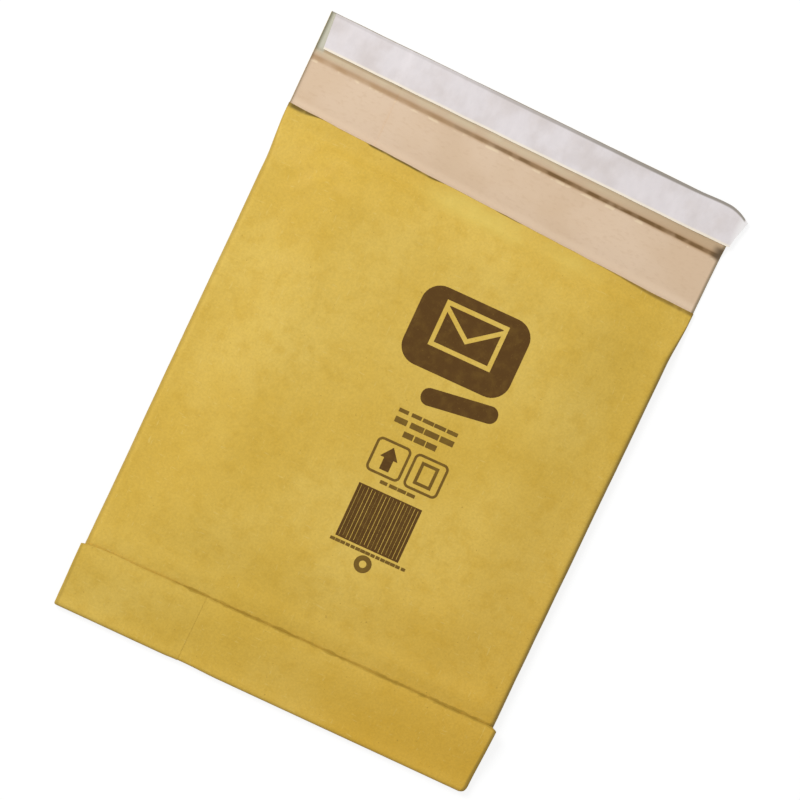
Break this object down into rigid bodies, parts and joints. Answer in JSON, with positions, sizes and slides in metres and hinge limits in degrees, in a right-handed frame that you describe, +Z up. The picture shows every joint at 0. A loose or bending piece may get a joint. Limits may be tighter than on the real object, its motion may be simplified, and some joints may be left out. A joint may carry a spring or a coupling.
{
  "type": "padded envelope",
  "caption": "Open padded paper mailing bag with glued turned-up bottom, a lapped back seam and a flap carrying a peel-off closing strip.",
  "frame": {"origin": "on the resting surface, under the middle of the pouch's back, 138 mm above the bottom fold", "axes": "+X across the bag to the right of someone who reads the front, +Y from the bottom fold towards the flap, +Z up, out of the front"},
  "size_m": [0.2346, 0.3272, 0.0127],
  "materials": {
    "outer_kraft": "matte",
    "inner_kraft": "matte",
    "paper_fibre": "matte",
    "seam_glue": "satin",
    "tape_adhesive": "satin",
    "release_liner": "satin",
    "print_ink": "matte"
  },
  "bodies": {
    "root": {"outer_sheet": "outer_kraft", "inner_sheet": "inner_kraft", "fibre_padding": "paper_fibre", "lap_seam_glue": "seam_glue", "turn_up_glue": "seam_glue", "flap_adhesive": "tape_adhesive", "release_liner": "release_liner", "print_badge": "print_ink", "print_banner": "print_ink", "print_bars": "print_ink", "print_ring": "print_ink", "print_frame_left": "print_ink", "print_frame_right": "print_ink", "print_arrow": "print_ink", "print_page": "print_ink", "print_line_top": "print_ink", "print_line_middle": "print_ink", "print_line_bottom": "print_ink", "print_caption": "print_ink", "print_footer": "print_ink"}
  },
  "joints": []
}
